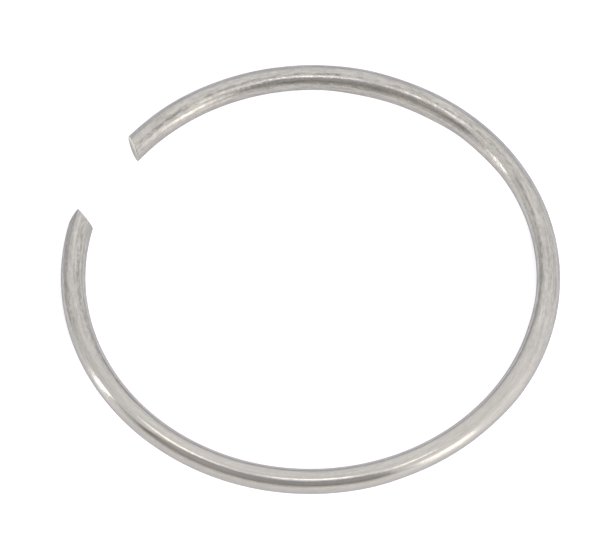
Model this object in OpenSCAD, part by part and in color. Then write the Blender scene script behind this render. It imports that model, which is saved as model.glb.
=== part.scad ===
// Round wire snap ring: an open ring of hard-drawn round spring wire, coiled
// to size and sheared off the coil. It lies flat, as on a bench: Z is the
// ring's axis, the wire rests on z = 0, and the gap is centred on -X.
// The leading end, the first to leave the coiler, is on the -Y side of the
// gap, and the tail end is on the +Y side.

/* [Wire] */
// Diameter of the drawn wire
wire_d = 2.5; // [1.5:0.1:4]

/* [Ring] */
// Outside diameter of the ring, free
ring_od = 50; // [36:0.5:80]
// Gap straight across from end to end, at the middle of the wire
end_gap = 9.5; // [5:0.1:16]
// Added to the bend radius from the -Y side of the ring to the leading end
lead_spread = 0.4; // [0:0.05:1]
// Taken off the bend radius from the +Y side of the ring to the tail end
tail_draw = 0.1; // [0:0.05:1]

/* [Shear cuts] */
// Slant of the leading cut off square, which leaves the outer side longer
lead_slant = 36; // [10:1:45]
// Lean of the leading cut off upright, which leaves the underside longer
lead_lean = 12; // [0:1:20]
// Slant of the tail cut off square, which leaves the inner side longer
tail_slant = 27; // [10:1:45]
// Lean of the tail cut off upright, which leaves the underside longer
tail_lean = 0; // [0:1:20]

/* [Rollover] */
// Length of wire that the blade rounds over as it enters the leading end
roll_length = 2.2; // [1:0.1:3]
// Depth of that rounding at the tip
roll_depth = 0.5; // [0.1:0.05:0.6]
// Tilt of the blade's way in, from straight outside towards above
roll_tilt = 15; // [0:1:30]

/* [Hidden] */
$fn = 96;

wire_r = wire_d / 2;
mid_r = ring_od / 2 - wire_r;
lead_r = mid_r + lead_spread;
tail_r = mid_r - tail_draw;

// Each run is drawn this much too long, for the blade to cut through
past_cut = 2 * wire_d;
blade = 4 * wire_d;

// Radius that takes roll_depth off over roll_length, tangent to the wire
roll_r = (pow(roll_length, 2) + pow(roll_depth, 2)) / (2 * roll_depth);

// The angle that a run bent to radius r turns through, from the ring's side
// to half the gap
function run_angle(r) = 90 - asin((end_gap / 2 + r - mid_r) / r);

// The angle that a length of wire turns through when bent to radius r
function turn_of(length, r) = length / r * 180 / PI;

// Wire bent to radius r about the origin, turning from +X through an angle
module bent_wire(r, angle) {
    rotate_extrude(angle = angle)
        translate([r, 0])
            circle(d = wire_d);
}

// From the ring's +Y side, where it is tangent to the round half, to a cut
// end. The children are what the blade takes, drawn about the middle of the
// wire with X out of the ring and Y along the wire into the gap
module end_run(r) {
    turn = run_angle(r);
    translate([0, mid_r - r, 0])
        rotate(90)
            difference() {
                bent_wire(r, turn + turn_of(past_cut, r));
                rotate(turn)
                    translate([r, 0, 0])
                        children();
            }
}

// All beyond a cut through the middle of the wire. A positive slant leaves
// the inner side of the wire longer, and a positive lean the underside
module beyond_cut(slant, lean) {
    rotate([0, 0, -slant])
        rotate([lean, 0, 0])
            translate([-blade / 2, 0, -blade / 2])
                cube(blade);
}

// What is rolled over on the outer side of an end, back from the cut's tip
module rolled_over(slant) {
    tip = (wire_r - roll_depth) * tan(slant);
    rotate([0, -roll_tilt, 0])
        translate([wire_r - roll_r, tip - roll_length, 0])
            difference() {
                translate([0, 0, -wire_d])
                    cube([2 * roll_r, blade, 2 * wire_d]);
                cylinder(r = roll_r, h = 3 * wire_d, center = true);
            }
}

module round_half() {
    rotate(-90)
        bent_wire(mid_r, 180);
}

module tail_run() {
    end_run(tail_r)
        beyond_cut(tail_slant, tail_lean);
}

module lead_run() {
    mirror([0, 1, 0])
        end_run(lead_r) {
            beyond_cut(-lead_slant, lead_lean);
            rolled_over(lead_slant);
        }
}

module wire_ring() {
    color([0.74, 0.73, 0.71])
        translate([0, 0, wire_r]) {
            round_half();
            lead_run();
            tail_run();
        }
}

wire_ring();
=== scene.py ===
"""Round wire snap ring: its visual model, and the studio it is shown in.

The ring is one length of hard-drawn round spring wire, sheared off at both
ends. Sizes are in metres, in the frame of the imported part: Z is the ring's
axis, the wire lies on z = 0, and the gap is centred on -X. The leading end is
on the gap's -Y side and the tail end on its +Y side.
"""

import math

import bpy
from bpy.props import FloatProperty, FloatVectorProperty, IntProperty, PointerProperty
from mathutils import Matrix, Vector


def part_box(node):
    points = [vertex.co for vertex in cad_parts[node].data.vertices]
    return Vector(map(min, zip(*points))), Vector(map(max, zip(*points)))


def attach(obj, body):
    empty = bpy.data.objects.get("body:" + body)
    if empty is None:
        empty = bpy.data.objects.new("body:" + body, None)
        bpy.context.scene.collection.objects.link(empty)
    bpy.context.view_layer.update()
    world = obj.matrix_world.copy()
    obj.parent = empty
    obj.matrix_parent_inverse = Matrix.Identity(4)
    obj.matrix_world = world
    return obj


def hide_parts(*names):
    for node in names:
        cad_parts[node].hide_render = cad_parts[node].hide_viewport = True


bl_info = {
    "name": "Wire Snap Ring",
    "version": (1, 0, 0),
    "blender": (4, 5, 0),
    "location": "View3D > Sidebar > Snap Ring",
    "description": "Builds a round wire snap ring and the studio that it is shown in",
    "category": "Object",
}

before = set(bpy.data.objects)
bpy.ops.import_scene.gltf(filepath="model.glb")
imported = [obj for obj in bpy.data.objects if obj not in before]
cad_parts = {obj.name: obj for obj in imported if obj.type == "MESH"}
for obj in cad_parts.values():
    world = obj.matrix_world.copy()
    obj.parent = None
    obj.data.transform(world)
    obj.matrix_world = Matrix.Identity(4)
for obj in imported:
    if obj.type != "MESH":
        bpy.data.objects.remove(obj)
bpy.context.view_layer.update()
WIRE_LOW, WIRE_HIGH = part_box("wire_ring")

MM = 0.001
# Degrees in a radian
DEGREES = 180 / math.pi

# Attribute of the ring's mesh: where a point lies on the wire as it was drawn,
# before it was bent. X is the length from the middle of the wire, and Y and Z
# are the place in its section, all in millimetres.
DRAWN_PLACE = "drawn_place"


# ---------------------------------------------------------------- settings

class RingSettings(bpy.types.PropertyGroup):
    """Sizes of the wire ring, each of which is an input of its node tree."""

    wire_diameter: FloatProperty(
        name="Wire Diameter",
        description="Diameter of the drawn wire",
        default=WIRE_HIGH.z - WIRE_LOW.z,
        unit="LENGTH",
    )
    ring_diameter: FloatProperty(
        name="Ring Diameter",
        description="Outside diameter of the ring, free",
        default=2 * WIRE_HIGH.x,
        unit="LENGTH",
    )
    end_gap: FloatProperty(
        name="End Gap",
        description="Gap straight across from end to end, at the middle of the wire",
        default=9.5 * MM,
        unit="LENGTH",
    )
    lead_spread: FloatProperty(
        name="Lead Spread",
        description="Added to the bend radius on the way to the leading end",
        default=0.4 * MM,
        unit="LENGTH",
    )
    tail_draw: FloatProperty(
        name="Tail Draw",
        description="Taken off the bend radius on the way to the tail end",
        default=0.1 * MM,
        unit="LENGTH",
    )
    lead_slant: FloatProperty(
        name="Lead Slant",
        description="Slant of the leading cut off square, with the outer side longer",
        default=math.radians(36),
        subtype="ANGLE",
    )
    lead_lean: FloatProperty(
        name="Lead Lean",
        description="Lean of the leading cut off upright, with the underside longer",
        default=math.radians(12),
        subtype="ANGLE",
    )
    tail_slant: FloatProperty(
        name="Tail Slant",
        description="Slant of the tail cut off square, with the inner side longer",
        default=math.radians(27),
        subtype="ANGLE",
    )
    roll_length: FloatProperty(
        name="Roll Length",
        description="Length of wire that the blade rounds over at the leading end",
        default=2.2 * MM,
        unit="LENGTH",
    )
    roll_depth: FloatProperty(
        name="Roll Depth",
        description="Depth of the blade's rounding at the tip",
        default=0.5 * MM,
        unit="LENGTH",
    )
    roll_tilt: FloatProperty(
        name="Roll Tilt",
        description="Tilt of the blade's way in, from straight outside towards above",
        default=math.radians(15),
        subtype="ANGLE",
    )
    edge_round: FloatProperty(
        name="Edge Round",
        description="Radius of the rounded edge round each sheared face",
        default=0.06 * MM,
        unit="LENGTH",
    )
    corner_round: FloatProperty(
        name="Corner Round",
        description="Added to the edge's radius at the inner corner of the leading end",
        default=0.12 * MM,
        unit="LENGTH",
    )
    tear: FloatProperty(
        name="Tear",
        description="Height of the torn grain on the sheared faces",
        default=0.05 * MM,
        unit="LENGTH",
    )
    waviness: FloatProperty(
        name="Waviness",
        description="Depth of the slow waves that the coiling rolls leave in the wire",
        default=0.012 * MM,
        unit="LENGTH",
    )
    chatter: FloatProperty(
        name="Chatter",
        description="Depth of the short ripple that runs along part of the wire",
        default=0.006 * MM,
        unit="LENGTH",
    )
    rows: IntProperty(
        name="Rows",
        description="Rings of points along the wire, the end faces included",
        default=741,
    )
    columns: IntProperty(
        name="Columns",
        description="Points round the wire's section",
        default=97,
    )


class SteelSettings(bpy.types.PropertyGroup):
    """Colours of the bare steel."""

    drawn_colour: FloatVectorProperty(
        name="Drawn Colour",
        description="Colour of the drawn skin of the wire",
        default=(0.585, 0.563, 0.54),
        subtype="COLOR",
    )
    sheared_colour: FloatVectorProperty(
        name="Sheared Colour",
        description="Colour of the fresh steel on the sheared faces",
        default=(0.61, 0.59, 0.565),
        subtype="COLOR",
    )


class StudioSettings(bpy.types.PropertyGroup):
    """The table, the tent round it and the lamps."""

    table_colour: FloatVectorProperty(
        name="Table Colour",
        description="Colour of the table's surface",
        default=(0.447, 0.452, 0.468),
        subtype="COLOR",
    )
    tent_light: FloatProperty(
        name="Tent Light",
        description="Brightness of the tent's walls, where 1 is white",
        default=0.98,
    )
    lamp_light: FloatProperty(
        name="Lamp Light",
        description="Brightness of all the lamps together",
        default=1.0,
    )


SETTINGS = {
    "snap_ring": RingSettings,
    "snap_ring_steel": SteelSettings,
    "snap_ring_studio": StudioSettings,
}


# ------------------------------------------------------- sums in node trees

FLOAT = "NodeSocketFloat"
VECTOR = "NodeSocketVector"
GEOMETRY = "NodeSocketGeometry"


def feed(tree, socket, value):
    """Gives a socket a Number, another node's socket or a plain value."""
    if isinstance(value, Number):
        tree.links.new(value.socket, socket)
    elif isinstance(value, bpy.types.NodeSocket):
        tree.links.new(value, socket)
    else:
        socket.default_value = value


def add_node(tree, kind, inputs=(), **settings):
    """Adds a node, sets it and feeds its inputs, a dict or a list."""
    node = tree.nodes.new(kind)
    for key, value in settings.items():
        setattr(node, key, value)
    pairs = inputs.items() if isinstance(inputs, dict) else enumerate(inputs)
    for place, value in pairs:
        feed(tree, node.inputs[place], value)
    return node


class Number:
    """A number in a node tree. A sum done with it adds a Math node."""

    def __init__(self, tree, socket):
        self.tree = tree
        self.socket = socket

    def math(self, operation, *values):
        """What a Math node makes of these values."""
        node = add_node(self.tree, "ShaderNodeMath", values, operation=operation)
        return Number(self.tree, node.outputs[0])

    def __add__(self, other):
        return self.math("ADD", self, other)

    def __radd__(self, other):
        return self.math("ADD", other, self)

    def __sub__(self, other):
        return self.math("SUBTRACT", self, other)

    def __rsub__(self, other):
        return self.math("SUBTRACT", other, self)

    def __mul__(self, other):
        return self.math("MULTIPLY", self, other)

    def __rmul__(self, other):
        return self.math("MULTIPLY", other, self)

    def __truediv__(self, other):
        return self.math("DIVIDE", self, other)

    def __neg__(self):
        return self.math("MULTIPLY", self, -1)

    def __abs__(self):
        return self.math("ABSOLUTE", self)

    def over(self, other):
        """1 where this is more than the other, and else 0."""
        return self.math("GREATER_THAN", self, other)

    def least(self, other):
        return self.math("MINIMUM", self, other)

    def most(self, other):
        return self.math("MAXIMUM", self, other)

    def sin(self):
        return self.math("SINE", self)

    def cos(self):
        return self.math("COSINE", self)

    def tan(self):
        return self.math("TANGENT", self)

    def asin(self):
        return self.math("ARCSINE", self)

    def sqrt(self):
        return self.math("SQRT", self)

    def exp(self):
        return self.math("EXPONENT", self)

    def power(self, other):
        return self.math("POWER", self, other)

    def ramp(self, low, high):
        """0 below low, 1 above high, and a smooth step between them."""
        limits = {"Value": self, "From Min": low, "From Max": high, "To Min": 0.0, "To Max": 1.0}
        node = add_node(self.tree, "ShaderNodeMapRange", limits, interpolation_type="SMOOTHSTEP")
        return Number(self.tree, node.outputs[0])

    def stretch(self, start, end, fade):
        """1 from start to end and 0 outside, with ends that fade both ways."""
        return self.ramp(start - fade, start + fade) * (1 - self.ramp(end - fade, end + fade))


def mix(share, low, high):
    """low where share is 0 and high where it is 1."""
    return low + share * (high - low)


def combined(tree, x, y, z):
    return add_node(tree, "ShaderNodeCombineXYZ", (x, y, z)).outputs[0]


def separated(tree, vector):
    node = add_node(tree, "ShaderNodeSeparateXYZ", (vector,))
    return [Number(tree, socket) for socket in node.outputs]


def noise(tree, x, y, z, detail=2.0, rough=0.5):
    """Smooth noise from 0 to 1 at a place, with one bump to each unit."""
    node = add_node(
        tree, "ShaderNodeTexNoise",
        {"Vector": combined(tree, x, y, z), "Scale": 1.0, "Detail": detail, "Roughness": rough},
    )
    return Number(tree, node.outputs[0])


def new_tree(name, kind, inputs=(), outputs=()):
    """A node tree with these sockets, its inputs and its output node."""
    tree = bpy.data.node_groups.new(name, kind)
    for label, socket_type, value in inputs:
        socket = tree.interface.new_socket(label, in_out="INPUT", socket_type=socket_type)
        if value is not None:
            socket.default_value = value
    for label, socket_type in outputs:
        tree.interface.new_socket(label, in_out="OUTPUT", socket_type=socket_type)
    return tree, tree.nodes.new("NodeGroupInput"), tree.nodes.new("NodeGroupOutput")


# --------------------------------------------------------------- the wire ring

# Share of the rows that each end face takes, beyond the wire's own rows
FACE_SHARE = 0.045
# A row this share of the run past the wire's last one is on an end face
PAST_LAST = 1e-5
# How strongly the rows close up towards the ends
END_CROWD = 0.07
CROWD_POWER = 12
# Length of wire over which the rows turn from square to the slant of the cut
SLANT_RUN = 4 * MM
# How low the wire's underside may reach, as a share of its radius
LOWEST = 0.998
# How softly the blade's rollover begins, as a share of the way along it
ROLL_BLUR = 0.02
# How closely the corner's extra rounding keeps to the inner side
CORNER_FOCUS = 6
# Points nearer than this are joined
WELD = 0.5e-6
# Edges that turn by more than this are shaded sharp
SHARP_ANGLE = math.radians(40)

# Where the sheared face turns from burnished to torn, in wire radii from its
# middle towards the side where the blade came out
TORN_FROM = -0.25
TORN_WHOLE = -0.13
# The torn grain: grains to the metre out and up, the share of it that lies
# below the face, and how near the rim it reaches
GRAIN_OUT = 3200
GRAIN_UP = 5200
GRAIN_SUNK = 0.62
GRAIN_REACH = 6

# Small dents in the wire, or bumps where the depth is less than 0: place along
# it from its middle in mm, place round its section in degrees (0 outside, 90 on
# top), and length, width and depth in mm
DENTS = (
    (55.6, 112, 0.45, 0.30, 0.024),
    (54.7, 106, 0.35, 0.25, 0.020),
    (56.6, 105, 0.50, 0.22, 0.016),
    (41.8, 104, 0.60, 0.30, 0.014),
    (38.9, 116, 0.40, 0.22, 0.012),
    (31.2, 131, 1.20, 0.30, 0.016),
    (23.2, 107, 0.70, 0.30, 0.020),
    (8.1, 137, 0.22, 0.18, 0.030),
    (17.8, 145, 0.50, 0.20, 0.012),
    (-57.6, 62, 0.60, 0.35, 0.014),
    (-62.3, 116, 0.50, 0.30, 0.018),
    (-52.5, 96, 0.70, 0.30, 0.010),
    (69.9, 154, 0.20, 0.18, -0.030),
)
# Stretches that the coiling rolls have pressed flatter, or fuller where the
# depth is less than 0: where each begins and ends along the wire in mm, its
# place round the section in degrees and its depth in mm
PRESSED = (
    (-18.0, -4.5, -15, 0.09),
    (-15.5, -8.0, 48, 0.06),
    (7.0, 26.5, 188, 0.12),
    (34.0, 46.0, 208, -0.12),
    (42.0, 66.0, 25, -0.08),
)
# Half the length over which such a stretch sets in, in mm, and how closely it
# keeps to its place round the section
PRESSED_FADE = 2.5
PRESSED_FOCUS = 4
# The slow waves: bumps to each mm along the wire and to each radius across it
WAVE_ALONG = 0.45
WAVE_ACROSS = 1.1
# Where the coiling tool has chattered, along the wire, half the length over
# which that sets in and the length of one ripple, in mm, and the share of it
# that the rest of the wire has
CHATTER_FROM = 43.0
CHATTER_TO = 57.0
CHATTER_FADE = 1.5
CHATTER_PITCH = 0.62
CHATTER_REST = 0.12
# How many ripples the chatter drifts by, and the bumps of that drift to each mm
# along the wire and to each radius across it
DRIFT = 3
DRIFT_ALONG = 0.7
DRIFT_ACROSS = 0.5

# Tracks painted darker or lighter into the drawn skin's colour: painted reflections,
# dark bands and highlights along the wire. Where each begins and ends along the
# wire in mm, its place round the section at either end in degrees, half its
# width in degrees, how much lighter it is (darker where less than 0) and how
# broken up
PAINTED_REFLECTIONS = (
    (-69.0, -45.0, 112, 123, 10, -0.20, 0.7),
    (-67.5, -64.5, 118, 122, 6, -0.12, 0.5),
    (-58.5, -49.5, 101, 106, 3.5, -0.14, 0.5),
    (-66.0, -56.5, 56, 62, 7, -0.14, 0.9),
    (-70.5, -57.0, 38, 47, 7, -0.22, 0.3),
    (-69.0, -58.5, 86, 92, 4, 0.09, 0.4),
    (-4.7, -2.9, 71, 71, 2.5, -0.10, 0.0),
    (-3.5, 3.5, 108, 110, 4, -0.07, 0.2),
    (4.0, 15.0, 125, 122, 8, -0.10, 0.3),
    (14.0, 24.0, 116, 107, 7, -0.14, 0.4),
    (9.4, 13.2, 73, 78, 2, -0.12, 0.2),
    (13.9, 18.3, 69, 71, 2, -0.12, 0.2),
    (10.0, 23.5, 119, 107, 7, -0.16, 0.5),
    (23.5, 47.0, 99, 101, 7, -0.17, 0.8),
    (46.0, 60.5, 103, 107, 7, -0.28, 0.7),
    (34.0, 57.0, 132, 138, 10, -0.14, 0.6),
    (59.5, 65.0, 111, 117, 10, -0.14, 0.4),
    (61.5, 69.2, 110, 119, 8, -0.24, 0.6),
    (64.5, 69.8, 108, 122, 12, -0.18, 0.6),
    (29.8, 34.0, 131, 133, 5, -0.25, 0.1),
    (31.0, 35.5, 149, 152, 3, -0.22, 0.3),
    (40.5, 54.5, 151, 152, 6, -0.16, 0.6),
    (35.0, 42.0, 160, 167, 3, 0.14, 0.4),
    (42.8, 46.4, 175, 176, 3, 0.16, 0.3),
    (17.0, 21.5, 144, 150, 3, 0.12, 0.5),
)


def ring_inputs(tree):
    """Adds the ring's sizes to the tree as inputs, from its settings."""
    kinds = {"FLOAT": FLOAT, "INT": "NodeSocketInt"}
    identifiers = {}
    for key in RingSettings.__annotations__:
        prop = RingSettings.bl_rna.properties[key]
        socket = tree.interface.new_socket(
            prop.name, description=prop.description, in_out="INPUT", socket_type=kinds[prop.type]
        )
        socket.default_value = prop.default
        identifiers[key] = socket.identifier
    return identifiers


class RingSums:
    """The sums that place each point of the ring, for the half it lies on.

    Both halves are worked out on the +Y side, from +X round to the gap, and
    the leading half is mirrored at the end. Places near an end are in that
    end's frame: x out of the ring, y along the wire into the gap, z up.
    """

    def __init__(self, sizes, is_tail):
        self.is_tail = is_tail
        self.sizes = sizes
        self.wire_r = sizes["wire_diameter"] / 2
        self.mid_r = sizes["ring_diameter"] / 2 - self.wire_r
        self.bend_r = self.mid_r + mix(is_tail, sizes["lead_spread"], -sizes["tail_draw"])
        half_gap = sizes["end_gap"] / 2
        reach = (half_gap + self.bend_r - self.mid_r) / self.bend_r
        self.end_turn = math.pi - reach.asin()
        self.side_run = self.mid_r * (math.pi / 2)
        self.run = self.side_run + self.bend_r * (self.end_turn - math.pi / 2)
        slant = mix(is_tail, sizes["lead_slant"], -sizes["tail_slant"])
        lean = sizes["lead_lean"] * (1 - is_tail)
        self.slope_x = slant.tan()
        self.slope_z = -lean.tan() / slant.cos()

    def rolled(self, x, y, z):
        """The section point x, z at y, with the blade's rollover taken off."""
        sizes = self.sizes
        depth = sizes["roll_depth"]
        length = sizes["roll_length"]
        radius = (length * length + depth * depth) / (2 * depth)
        start = (self.wire_r - depth) * self.slope_x - length
        tilt_cos = sizes["roll_tilt"].cos()
        tilt_sin = sizes["roll_tilt"].sin()
        out = x * tilt_cos + z * tilt_sin
        up = z * tilt_cos - x * tilt_sin
        past = (y - start).most(0)
        limit = self.wire_r - radius + (radius * radius - past * past).most(0).sqrt()
        cut_out = out.math("SMOOTH_MIN", out, limit, past * ROLL_BLUR)
        out = mix(past.over(0) * (1 - self.is_tail), out, cut_out)
        return out * tilt_cos - up * tilt_sin, out * tilt_sin + up * tilt_cos

    def end_of_line(self, x, z):
        """Where the lengthwise line at x, z of the section meets the cut."""
        y = self.slope_x * x + self.slope_z * z
        for _ in range(3):
            rolled_x, rolled_z = self.rolled(x, y, z)
            y = self.slope_x * rolled_x + self.slope_z * rolled_z
        return y


def sunk(tree, sizes, run_mm, angle):
    """How far the wire's surface lies below its nominal one, so far along it
    from its middle and at this angle round its section.
    """
    x = angle.cos()
    z = angle.sin()
    slow = noise(tree, run_mm * WAVE_ALONG, x * WAVE_ACROSS, z * WAVE_ACROSS, detail=3.0)
    # Taken from further off in the noise, so that it doesn't follow the waves
    drift = noise(
        tree, run_mm * DRIFT_ALONG, x * DRIFT_ACROSS, z * DRIFT_ACROSS + 3, detail=1.0
    )
    ripple = ((run_mm / CHATTER_PITCH + drift * DRIFT) * (2 * math.pi)).sin() * 0.5 + 0.5
    shaken = CHATTER_REST + run_mm.stretch(CHATTER_FROM, CHATTER_TO, CHATTER_FADE)
    depth = sizes["waviness"] * slow + sizes["chatter"] * ripple * shaken
    for start, end, around, pressed in PRESSED:
        facing = (angle - math.radians(around)).cos().most(0).power(PRESSED_FOCUS)
        depth = depth + facing * run_mm.stretch(start, end, PRESSED_FADE) * (pressed * MM)
    for along, around, length, width, dent in DENTS:
        along_off = (run_mm - along) / length
        turned = angle - math.radians(around)
        around_off = turned.sin() * (WIRE_HIGH.z / 2 / MM / width)
        facing = turned.cos().over(0)
        hollow = (-(along_off * along_off + around_off * around_off)).exp() * facing
        depth = depth + hollow * (dent * MM)
    return depth


def rounded_off(sizes, to_cut, angle, is_tail):
    """How far the edge of a cut lies below the wire's surface."""
    inner_corner = (-angle.cos()).most(0).power(CORNER_FOCUS) * (1 - is_tail)
    edge = sizes["edge_round"] + inner_corner * sizes["corner_round"]
    short = (edge - to_cut).most(0)
    return edge - (edge * edge - short * short).most(0).sqrt()


def torn_grain(tree, sums, face_x, face_z, side, spoke):
    """How far the grain stands out of a sheared face, which is burnished where
    the blade went in and torn beyond. The two faces have their own grain.
    """
    torn = (face_x * side / sums.wire_r).ramp(TORN_FROM, TORN_WHOLE)
    grain = noise(tree, face_x * GRAIN_OUT, face_z * GRAIN_UP, side * 5, detail=3.0, rough=0.6)
    inside = 1 - spoke.power(GRAIN_REACH)
    return inside * torn * (grain - GRAIN_SUNK) * sums.sizes["tear"]


def finished(tree, grid, place, drawn, on_face, steels):
    """The grid's points put in place, welded and shaded, with their steels."""
    placed = add_node(
        tree, "GeometryNodeSetPosition", {"Geometry": grid.outputs["Mesh"], "Position": place}
    )
    noted = add_node(
        tree, "GeometryNodeStoreNamedAttribute",
        {"Geometry": placed.outputs[0], "Name": DRAWN_PLACE, "Value": drawn},
        data_type="FLOAT_VECTOR", domain="POINT",
    )
    mapped = add_node(
        tree, "GeometryNodeStoreNamedAttribute",
        {"Geometry": noted.outputs[0], "Name": "UVMap", "Value": grid.outputs["UV Map"]},
        data_type="FLOAT2", domain="CORNER",
    )
    welded = add_node(
        tree, "GeometryNodeMergeByDistance", {"Geometry": mapped.outputs[0], "Distance": WELD}
    )
    edge_angle = add_node(tree, "GeometryNodeInputMeshEdgeAngle").outputs["Unsigned Angle"]
    soft_edges = 1 - Number(tree, edge_angle).over(SHARP_ANGLE)
    smooth = add_node(
        tree, "GeometryNodeSetShadeSmooth",
        {"Geometry": welded.outputs[0], "Shade Smooth": soft_edges}, domain="EDGE",
    )
    joined = add_node(tree, "GeometryNodeRealizeInstances", {"Geometry": smooth.outputs[0]})
    skin = add_node(
        tree, "GeometryNodeSetMaterial", {"Geometry": joined.outputs[0], "Material": steels["drawn"]}
    )
    faces = add_node(
        tree, "GeometryNodeSetMaterial",
        {"Geometry": skin.outputs[0], "Selection": on_face, "Material": steels["sheared"]},
    )
    return faces.outputs[0]


def wire_ring_tree(steels):
    """The tree that makes the ring, and its inputs' identifiers by setting."""
    tree, ins, outs = new_tree(
        "Wire snap ring", "GeometryNodeTree", outputs=(("Geometry", GEOMETRY),)
    )
    identifiers = ring_inputs(tree)
    sizes = {key: Number(tree, socket) for key, socket in zip(identifiers, ins.outputs)}

    grid = add_node(
        tree, "GeometryNodeMeshGrid",
        {"Size X": 1.0, "Size Y": 1.0, "Vertices X": sizes["rows"], "Vertices Y": sizes["columns"]},
    )
    u, v, _ = separated(tree, grid.outputs["UV Map"])
    along = (u * 2 - 1) * (1 + FACE_SHARE)
    is_tail = along.over(0)
    side = is_tail * 2 - 1
    row = abs(along).least(1)
    on_face = abs(along).over(1 + PAST_LAST)
    spoke = (1 + (1 - abs(along)) / FACE_SHARE).least(1)
    angle = v * (2 * math.pi)

    sums = RingSums(sizes, is_tail)
    round_x = sums.wire_r * angle.cos()
    round_z = sums.wire_r * angle.sin()
    end_y = sums.end_of_line(round_x, round_z)
    end_shift = sums.bend_r * (end_y / (sums.bend_r + round_x)).asin()

    # Length along the wire's middle from +X, with the last rows slanted
    straight = sums.run * (row * (1 + END_CROWD) - END_CROWD * row.power(CROWD_POWER))
    length = straight + end_shift * straight.ramp(sums.run - SLANT_RUN, sums.run)

    # The wire's surface, worn and waved, and rounded off at the cut
    run_mm = length * side / MM
    to_cut = sums.run + end_shift - length
    edge = rounded_off(sizes, to_cut, angle, is_tail)
    section_r = sums.wire_r - sunk(tree, sizes, run_mm, angle) - edge
    section_x = section_r * angle.cos()
    section_z = (section_r * angle.sin()).most(-LOWEST * sums.wire_r).least(sums.wire_r)

    # The end's frame, where the rollover is taken off
    end_angle = (length - sums.run) / sums.bend_r
    near_x = (sums.bend_r + section_x) * end_angle.cos() - sums.bend_r
    near_y = (sums.bend_r + section_x) * end_angle.sin()
    cut_x, cut_z = sums.rolled(near_x, near_y, section_z)

    # Round the ring
    past_side = length.over(sums.side_run)
    bent_run = (length - sums.side_run).most(0)
    turn = length.least(sums.side_run) / sums.mid_r + bent_run / sums.bend_r
    radius = mix(past_side, sums.mid_r, sums.bend_r) + section_x
    centre_y = past_side * (sums.mid_r - sums.bend_r)
    out_x = sums.end_turn.cos()
    out_y = sums.end_turn.sin()
    ring_x = radius * turn.cos() + (cut_x - near_x) * out_x
    ring_y = radius * turn.sin() + (cut_x - near_x) * out_y + centre_y

    # The face of the cut, in spokes from its rim to its middle
    middle_x = sums.bend_r * out_x
    middle_y = sums.bend_r * out_y + sums.mid_r - sums.bend_r
    face_z = cut_z * spoke
    relief = torn_grain(tree, sums, cut_x * spoke, face_z, side, spoke)
    ring_x = mix(spoke, middle_x, ring_x) - relief * out_y
    ring_y = mix(spoke, middle_y, ring_y) + relief * out_x

    place = combined(tree, ring_x, ring_y * side, face_z + sums.wire_r)
    drawn = combined(tree, run_mm, section_x * spoke / MM, section_z * spoke / MM)
    feed(tree, outs.inputs["Geometry"], finished(tree, grid, place, drawn, on_face, steels))
    return tree, identifiers


def grown(name, tree, identifiers, settings):
    """A plain mesh object of what a tree makes with these settings."""
    holder = bpy.data.objects.new(name + "_maker", bpy.data.meshes.new(name + "_maker"))
    bpy.context.scene.collection.objects.link(holder)
    modifier = holder.modifiers.new(tree.name, "NODES")
    modifier.node_group = tree
    for key, identifier in identifiers.items():
        modifier[identifier] = getattr(settings, key)
    evaluated = holder.evaluated_get(bpy.context.evaluated_depsgraph_get())
    mesh = bpy.data.meshes.new_from_object(evaluated)
    if not mesh.polygons:
        raise RuntimeError(f"the tree {tree.name} made no faces")
    mesh.name = name
    piece = bpy.data.objects.new(name, mesh)
    bpy.context.scene.collection.objects.link(piece)
    bpy.data.objects.remove(holder)
    return piece


# ------------------------------------------------------------------- steel

def draw_marks_group():
    """Lengthwise marks of a given width and length, as a height from 0 to 1."""
    tree, ins, outs = new_tree(
        "Draw marks", "ShaderNodeTree",
        (
            ("Place", VECTOR, None), ("Width", FLOAT, 0.1),
            ("Length", FLOAT, 5.0), ("Shift", FLOAT, 0.0),
        ),
        (("Height", FLOAT),),
    )
    x, y, z = separated(tree, ins.outputs["Place"])
    width = Number(tree, ins.outputs["Width"])
    length = Number(tree, ins.outputs["Length"])
    shift = Number(tree, ins.outputs["Shift"])
    marks = noise(tree, x / length + shift, y / width, z / width, detail=2.0, rough=0.6)
    feed(tree, outs.inputs["Height"], marks)
    return tree


def patches_group():
    """Blotches of a given size that cover a share of the surface, as a mask."""
    tree, ins, outs = new_tree(
        "Patches", "ShaderNodeTree",
        (
            ("Place", VECTOR, None), ("Size", FLOAT, 1.0), ("Stretch", FLOAT, 2.0),
            ("Cover", FLOAT, 0.5), ("Softness", FLOAT, 0.1), ("Shift", FLOAT, 0.0),
        ),
        (("Mask", FLOAT),),
    )
    x, y, z = separated(tree, ins.outputs["Place"])
    size = Number(tree, ins.outputs["Size"])
    stretch = Number(tree, ins.outputs["Stretch"])
    soft = Number(tree, ins.outputs["Softness"])
    shift = Number(tree, ins.outputs["Shift"])
    blotch = noise(tree, x / (size * stretch) + shift, y / size, z / size, detail=3.0, rough=0.55)
    # Most of the noise lies between 0.25 and 0.75
    edge = 0.75 - Number(tree, ins.outputs["Cover"]) / 2
    feed(tree, outs.inputs["Mask"], blotch.ramp(edge - soft, edge + soft))
    return tree


# A track fades between these shares of its half width, and at each end from so
# far beyond it to so far within it, in mm
TRACK_SOLID = 0.4
TRACK_GONE = 1.4
TRACK_BEYOND = 0.5
TRACK_WITHIN = 0.8


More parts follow.
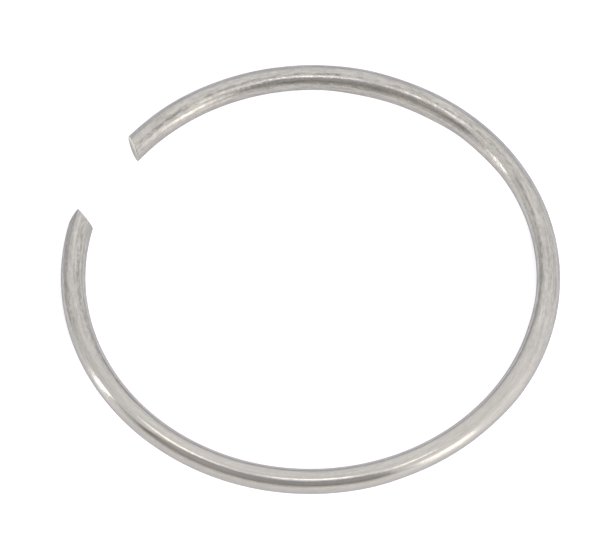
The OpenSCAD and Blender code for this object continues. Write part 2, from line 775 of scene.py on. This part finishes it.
def painted_reflection_group():
    """One lengthwise track of painted reflection on the wire, as a mask."""
    labels = ("From", "To", "From Angle", "To Angle", "Half Width", "Broken", "Blotches")
    tree, ins, outs = new_tree(
        "Painted reflection", "ShaderNodeTree",
        (("Place", VECTOR, None), *((label, FLOAT, 0.0) for label in labels)),
        (("Mask", FLOAT),),
    )
    x, y, z = separated(tree, ins.outputs["Place"])
    start, end, start_angle, end_angle, half, broken, blotches = [
        Number(tree, ins.outputs[label]) for label in labels
    ]
    angle = y.math("ARCTAN2", z, y) * DEGREES
    middle = mix(((x - start) / (end - start)).most(0).least(1), start_angle, end_angle)
    across = 1 - abs(angle - middle).ramp(half * TRACK_SOLID, half * TRACK_GONE)
    begun = x.ramp(start - TRACK_BEYOND, start + TRACK_WITHIN)
    ended = x.ramp(end - TRACK_WITHIN, end + TRACK_BEYOND)
    feed(tree, outs.inputs["Mask"], across * (begun * (1 - ended)) * mix(broken, 1, blotches))
    return tree


def placed_group(tree, group, *values, **named_values):
    """The number that a group gives for its inputs, set in order or by name."""
    node = add_node(tree, "ShaderNodeGroup", values or named_values, node_tree=group)
    return Number(tree, node.outputs[0])


def new_material(name):
    """A material of one Principled shader, with its tree and the shader."""
    material = bpy.data.materials.new(name)
    material.use_nodes = True
    tree = material.node_tree
    tree.nodes.clear()
    shader = add_node(tree, "ShaderNodeBsdfPrincipled")
    add_node(tree, "ShaderNodeOutputMaterial", {"Surface": shader.outputs[0]})
    return material, tree, shader


def mixed(tree, share, low, high, blend):
    """Two colours mixed, or the low one blended with the high one."""
    node = add_node(tree, "ShaderNodeMix", data_type="RGBA", blend_type=blend)
    open_inputs = [socket for socket in node.inputs if socket.enabled]
    for socket, value in zip(open_inputs, (share, low, high)):
        feed(tree, socket, value)
    return next(socket for socket in node.outputs if socket.enabled)


def tinted(tree, colour, level):
    """A colour times a level that changes over the surface."""
    grey = add_node(tree, "ShaderNodeCombineColor", (level, level, level)).outputs[0]
    return mixed(tree, 1.0, (*colour, 1.0), grey, "MULTIPLY")


def bumped(tree, height, depth):
    """The normal of a height from 0 to 1 that is depth metres deep."""
    node = add_node(tree, "ShaderNodeBump", {"Strength": 1.0, "Distance": depth, "Height": height})
    return node.outputs["Normal"]


# The length of wire that the rolls have left smooth, in mm from its middle, half
# the length over which that sets in, and the share of the marks left there
SMOOTH_FROM = -55.0
SMOOTH_TO = 2.0
SMOOTH_FADE = 5.0
SMOOTH_MARKS = 0.4

# Tint of the warm patches, and of what the skin mirrors at a grazing angle
WARM_TINT = (1.012, 1.0, 0.972, 1.0)
GRAZED_TINT = (0.73, 0.72, 0.82, 1.0)
# Lightness and roughness of the drawn skin where nothing marks it
DRAWN_LEVEL = 1.01
DRAWN_ROUGHNESS = 0.10
# How much smoother a track is for being lighter
TRACK_POLISH = 0.2
# Depth of the relief that the bump shows
DRAWN_RELIEF = 0.010 * MM
SHEARED_RELIEF = 0.012 * MM


def drawn_place(tree):
    return add_node(tree, "ShaderNodeAttribute", attribute_name=DRAWN_PLACE).outputs["Vector"]


def drawn_steel(colour, groups):
    """Bright-drawn spring steel: lengthwise marks, dull patches, and tracks of painted reflections.
    """
    material, tree, shader = new_material("drawn_steel")
    place = drawn_place(tree)
    marks, patches = groups["marks"], groups["patches"]
    along, _, _ = separated(tree, place)
    worn = mix(along.stretch(SMOOTH_FROM, SMOOTH_TO, SMOOTH_FADE), 1, SMOOTH_MARKS)
    fine = placed_group(tree, marks, Place=place, Width=0.14, Length=1.8)
    broad = placed_group(tree, marks, Place=place, Width=0.26, Length=4.0, Shift=4.0)
    wide = placed_group(tree, marks, Place=place, Width=0.6, Length=22.0, Shift=9.0)
    dull = placed_group(tree, patches, Place=place, Size=0.9, Stretch=4.0, Softness=0.12)
    specks = placed_group(
        tree, patches, Place=place, Size=0.26, Stretch=2.4, Softness=0.07, Shift=2.0
    )
    warm = placed_group(tree, patches, Place=place, Size=0.5, Stretch=3.0, Softness=0.2, Shift=7.0)
    # Painted reflections: tracks that darken the skin's colour as dark reflected bands and lighten
    # it as highlights
    painted_reflections = 0
    for start, end, start_angle, end_angle, half, lighter, broken in PAINTED_REFLECTIONS:
        track = placed_group(
            tree, groups["track"], place, start, end, start_angle, end_angle, half, broken, specks
        )
        painted_reflections = painted_reflections + lighter * track

    marked = (fine - 0.5) * 0.5 + (broad - 0.5) * 0.5 - (specks - 0.3) * 0.1
    level = DRAWN_LEVEL + marked * worn + (wide - 0.5) * 0.16 - dull * 0.06 * worn
    # The painted reflections multiply the skin's lightness here
    skin = tinted(tree, colour, level * (1 + painted_reflections))
    feed(tree, shader.inputs["Base Color"], mixed(tree, warm, skin, WARM_TINT, "MULTIPLY"))
    shader.inputs["Metallic"].default_value = 1.0
    shader.inputs["Specular Tint"].default_value = GRAZED_TINT
    dulled = worn * (0.05 * fine + 0.10 * dull + 0.07 * specks)
    feed(tree, shader.inputs["Roughness"], DRAWN_ROUGHNESS + dulled - painted_reflections * TRACK_POLISH)
    height = 0.15 * fine + 0.65 * broad * worn + 0.3 * specks * worn
    feed(tree, shader.inputs["Normal"], bumped(tree, height, DRAWN_RELIEF))
    return material


def sheared_steel(colour, groups):
    """The sheared faces: a burnished side and a torn, grainy one, with the upper half painted
    lighter, burnish and a painted highlight, and darker towards the bottom.
    """
    material, tree, shader = new_material("sheared_steel")
    place = drawn_place(tree)
    _, y, z = separated(tree, place)
    across = combined(tree, y, z, z)
    scored = placed_group(tree, groups["marks"], Place=across, Width=0.08, Length=0.9)
    grain = placed_group(
        tree, groups["patches"], Place=place, Size=0.12, Stretch=1.0, Softness=0.1, Shift=6.0
    )
    # The upper half is lighter, burnish with a painted highlight on it, and the lowest part is
    # darker, in mm of z
    burnish_and_painted_highlight = z.ramp(0.0, 0.6)
    darker_towards_bottom = 1 - z.ramp(-1.25, -0.75)
    level = 0.88 + 0.14 * scored - 0.08 * grain + 0.52 * burnish_and_painted_highlight - 0.3 * darker_towards_bottom
    feed(tree, shader.inputs["Base Color"], tinted(tree, colour, level))
    shader.inputs["Metallic"].default_value = 1.0
    feed(tree, shader.inputs["Roughness"], 0.34 + 0.12 * grain)
    feed(tree, shader.inputs["Normal"], bumped(tree, 0.6 * scored + 0.4 * grain, SHEARED_RELIEF))
    return material


# ------------------------------------------------------------------ studio

# Where the camera stands, in degrees round the ring from -Y, up and turned
# about its own view, how far off in metres, and its lens in mm
CAMERA_TURN = 29.4
CAMERA_RISE = 58.59
CAMERA_ROLL = -1.16
CAMERA_FAR = 0.584
CAMERA_LENS = 348.0
# The ring's middle lies this far right of and below the middle of the view
RING_RIGHT = 1.16 * MM
RING_BELOW = 1.09 * MM

# The table's side, and its paint
TABLE_SIZE = 6.0
TABLE_ROUGHNESS = 0.3
TABLE_SPECULAR = 0.8
# Light added to the table where it is looked at, and where the steel mirrors it
TABLE_LIFT = 0.68
TABLE_MIRRORED = 0.23

# Lamps: degrees round from straight behind the ring as the camera sees it,
# clockwise from above, degrees up, width and height in degrees, how far off in
# metres, brightness and colour
LAMPS = {
    "left_softbox": (-95, 8, 5.5, 38, 0.7, 2.6, (1.0, 0.985, 0.96)),
    "right_softbox": (131, 7, 18, 38, 0.7, 0.94, (1.0, 0.965, 0.88)),
    "high_left_lamp": (-97, 67, 16, 9, 0.7, 1.25, (1.0, 0.93, 0.86)),
    "high_right_lamp": (132, 61, 12, 8, 0.7, 1.2, (1.0, 0.93, 0.86)),
    "front_strip": (-177, 75, 15, 8, 0.6, 1.35, (1.0, 0.97, 0.94)),
}
# The lamp in front, which lights the table and throws the ring's shadow on it,
# but isn't mirrored
KEY_LAMP = (163, 26, 16, 16, 0.4, 60.0, (1.0, 0.96, 0.9))

# The tent's walls are this dim below the lower height and at full brightness
# above the upper one, in degrees up
TENT_DIM = 0.9
TENT_LOW = -20.0
TENT_HIGH = 60.0
# Parts of the tent that are darker or lighter than its walls: degrees round,
# degrees up, width and height in degrees, softness, and what they multiply the
# walls' colour by
TENT_PARTS = {
    "front_opening": (-160, 37.5, 99, 49, 7, (0.46, 0.46, 0.46)),
    "front_opening_foot": (-163, 8, 100, 40, 26, (0.84, 0.82, 0.78)),
    "front_opening_top": (-163, 62, 116, 7, 6, (0.83, 0.85, 1.0)),
    "front_opening_rim": (-163, 74, 122, 18, 8, (1.06, 1.05, 1.03)),
    "front_opening_left": (-132, 34, 34, 44, 18, (1.16, 1.16, 1.16)),
    "left_edge": (-108, 29, 20, 20, 9, (0.64, 0.64, 0.64)),
    "left_wall": (-66, 20, 54, 90, 34, (0.84, 0.84, 0.84)),
    "left_corner": (-52, 3, 26, 40, 26, (0.78, 0.78, 0.78)),
    "back_foot": (-2, -6, 90, 42, 34, (0.57, 0.58, 0.67)),
    "right_wall": (112, -5, 60, 84, 32, (1.25, 1.235, 1.22)),
    "ceiling": (0, 90, 400, 24, 14, (0.91, 0.91, 0.91)),
}


def soft_part_group():
    """A soft-edged patch of the tent, from degrees round and degrees up."""
    labels = ("Round", "Up", "Middle", "Height", "Width", "Tall", "Softness")
    tree, ins, outs = new_tree(
        "Tent part", "ShaderNodeTree",
        tuple((label, FLOAT, 0.0) for label in labels), (("Mask", FLOAT),),
    )
    around, up, middle, height, width, tall, soft = [
        Number(tree, ins.outputs[label]) for label in labels
    ]
    off = around - middle
    round_off = abs(off.math("WRAP", off, 180.0, -180.0))
    up_off = abs(up - height)
    masks = [
        1 - away.ramp(reach / 2 - soft / 2, reach / 2 + soft / 2)
        for away, reach in ((round_off, width), (up_off, tall))
    ]
    feed(tree, outs.inputs["Mask"], masks[0] * masks[1])
    return tree


def ray_masks(tree):
    """1 for a ray from the camera or through glass, and 1 for a mirrored one."""
    path = add_node(tree, "ShaderNodeLightPath")
    seen = Number(tree, path.outputs["Is Camera Ray"])
    through = Number(tree, path.outputs["Is Transmission Ray"])
    return seen.most(through), Number(tree, path.outputs["Is Glossy Ray"])


def tent(settings):
    """The world: a pale tent with a darker opening, white to the camera."""
    world = bpy.data.worlds.new("tent")
    world.use_nodes = True
    tree = world.node_tree
    tree.nodes.clear()
    x, y, z = separated(tree, add_node(tree, "ShaderNodeTexCoord").outputs["Generated"])
    turn = math.radians(CAMERA_TURN)
    right = x * math.cos(turn) + y * math.sin(turn)
    behind = y * math.cos(turn) - x * math.sin(turn)
    around = right.math("ARCTAN2", right, behind) * DEGREES
    up = z.asin() * DEGREES
    part_group = soft_part_group()
    walls = settings.tent_light * mix(up.ramp(TENT_LOW, TENT_HIGH), TENT_DIM, 1)
    light = add_node(tree, "ShaderNodeCombineColor", (walls, walls, walls)).outputs[0]
    for middle, height, width, tall, soft, colour in TENT_PARTS.values():
        part = placed_group(tree, part_group, around, up, middle, height, width, tall, soft)
        light = mixed(tree, part, light, (*colour, 1.0), "MULTIPLY")
    looked_at, _ = ray_masks(tree)
    light = mixed(tree, looked_at, light, (1.0, 1.0, 1.0, 1.0), "MIX")
    glow = add_node(tree, "ShaderNodeBackground", {"Color": light, "Strength": 1.0})
    add_node(tree, "ShaderNodeOutputWorld", {"Surface": glow.outputs[0]})
    bpy.context.scene.world = world


def seen_at(around, up):
    """The direction at these degrees round and up, as the lamps count them."""
    turned = math.radians(around - CAMERA_TURN)
    raised = math.radians(up)
    flat = math.cos(raised)
    return Vector((math.sin(turned) * flat, math.cos(turned) * flat, math.sin(raised)))


def lamp(name, around, up, width, tall, far, bright, colour, settings):
    """An area lamp that fills these degrees and glows so many times white."""
    data = bpy.data.lights.new(name, "AREA")
    data.shape = "RECTANGLE"
    data.size = 2 * far * math.tan(math.radians(width) / 2)
    data.size_y = 2 * far * math.tan(math.radians(tall) / 2)
    data.color = colour
    data.energy = bright * settings.lamp_light * math.pi * data.size * data.size_y
    body = bpy.data.objects.new(name, data)
    bpy.context.scene.collection.objects.link(body)
    towards = seen_at(around, up)
    body.location = towards * far
    body.rotation_mode = "QUATERNION"
    body.rotation_quaternion = towards.to_track_quat("Z", "Y")
    body.visible_camera = False
    return body


def table(settings):
    """A wide pale table that keeps the ring's shadow and looks white."""
    half = TABLE_SIZE / 2
    mesh = bpy.data.meshes.new("table")
    corners = [(-half, -half, 0.0), (half, -half, 0.0), (half, half, 0.0), (-half, half, 0.0)]
    mesh.from_pydata(corners, [], [(0, 1, 2, 3)])
    surface = bpy.data.objects.new("table", mesh)
    bpy.context.scene.collection.objects.link(surface)
    material = bpy.data.materials.new("table_paint")
    material.use_nodes = True
    tree = material.node_tree
    tree.nodes.clear()
    paint = add_node(
        tree, "ShaderNodeBsdfPrincipled",
        {
            "Base Color": (*settings.table_colour, 1.0),
            "Roughness": TABLE_ROUGHNESS,
            "Specular IOR Level": TABLE_SPECULAR,
        },
    )
    looked_at, mirrored = ray_masks(tree)
    lift = add_node(
        tree, "ShaderNodeEmission",
        {"Strength": looked_at * TABLE_LIFT + mirrored * TABLE_MIRRORED},
    )
    both = add_node(tree, "ShaderNodeAddShader", (paint.outputs[0], lift.outputs[0]))
    add_node(tree, "ShaderNodeOutputMaterial", {"Surface": both.outputs[0]})
    mesh.materials.append(material)


def camera():
    """The camera, far off with a long lens, and looking down on the ring."""
    turn = math.radians(CAMERA_TURN)
    rise = math.radians(CAMERA_RISE)
    roll = math.radians(CAMERA_ROLL)
    flat = math.cos(rise)
    back = Vector((math.sin(turn) * flat, -math.cos(turn) * flat, math.sin(rise)))
    level = Vector((math.cos(turn), math.sin(turn), 0))
    upward = back.cross(level)
    right = math.cos(roll) * level + math.sin(roll) * upward
    up = math.cos(roll) * upward - math.sin(roll) * level
    data = bpy.data.cameras.new("camera")
    data.lens = CAMERA_LENS
    data.clip_start = 0.01
    data.clip_end = 20.0
    body = bpy.data.objects.new("camera", data)
    bpy.context.scene.collection.objects.link(body)
    place = CAMERA_FAR * back - RING_RIGHT * right + RING_BELOW * up
    axes = Matrix((right, up, back)).transposed()
    body.matrix_world = Matrix.Translation(place) @ axes.to_4x4()
    bpy.context.scene.camera = body


# --------------------------------------------------------------- operators

class SNAPRING_OT_wire_ring(bpy.types.Operator):
    """Make the wire ring, in place of the plain one"""

    bl_idname = "snap_ring.wire_ring"
    bl_label = "Wire Ring"

    def execute(self, context):
        steel = context.scene.snap_ring_steel
        groups = {"marks": draw_marks_group(), "patches": patches_group(), "track": painted_reflection_group()}
        steels = {
            "drawn": drawn_steel(steel.drawn_colour, groups),
            "sheared": sheared_steel(steel.sheared_colour, groups),
        }
        tree, identifiers = wire_ring_tree(steels)
        piece = grown("wire_ring_visual", tree, identifiers, context.scene.snap_ring)
        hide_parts("wire_ring")
        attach(piece, "root")
        return {"FINISHED"}


class SNAPRING_OT_studio(bpy.types.Operator):
    """Set up the table, the tent, the lamps and the camera"""

    bl_idname = "snap_ring.studio"
    bl_label = "Studio"

    def execute(self, context):
        settings = context.scene.snap_ring_studio
        table(settings)
        tent(settings)
        for name, values in LAMPS.items():
            lamp(name, *values, settings)
        lamp("key_lamp", *KEY_LAMP, settings).visible_glossy = False
        camera()
        context.scene.view_settings.view_transform = "Standard"
        return {"FINISHED"}


class SNAPRING_PT_sidebar(bpy.types.Panel):
    """Lists the ring, its settings and the studio"""

    bl_idname = "SNAPRING_PT_sidebar"
    bl_label = "Snap Ring"
    bl_space_type = "VIEW_3D"
    bl_region_type = "UI"
    bl_category = "Snap Ring"

    def draw(self, context):
        for place, group in SETTINGS.items():
            settings = getattr(context.scene, place)
            box = self.layout.box()
            for key in group.__annotations__:
                box.prop(settings, key)
        for maker in MAKERS:
            self.layout.operator(maker.bl_idname)


MAKERS = (SNAPRING_OT_wire_ring, SNAPRING_OT_studio)
CLASSES = (*SETTINGS.values(), *MAKERS, SNAPRING_PT_sidebar)


def register():
    for made in CLASSES:
        bpy.utils.register_class(made)
    for place, group in SETTINGS.items():
        setattr(bpy.types.Scene, place, PointerProperty(type=group))


def unregister():
    for place in SETTINGS:
        delattr(bpy.types.Scene, place)
    for made in reversed(CLASSES):
        bpy.utils.unregister_class(made)


def main():
    """Builds the ring and its studio."""
    register()
    bpy.ops.snap_ring.wire_ring()
    bpy.ops.snap_ring.studio()


if __name__ == "__main__":
    main()
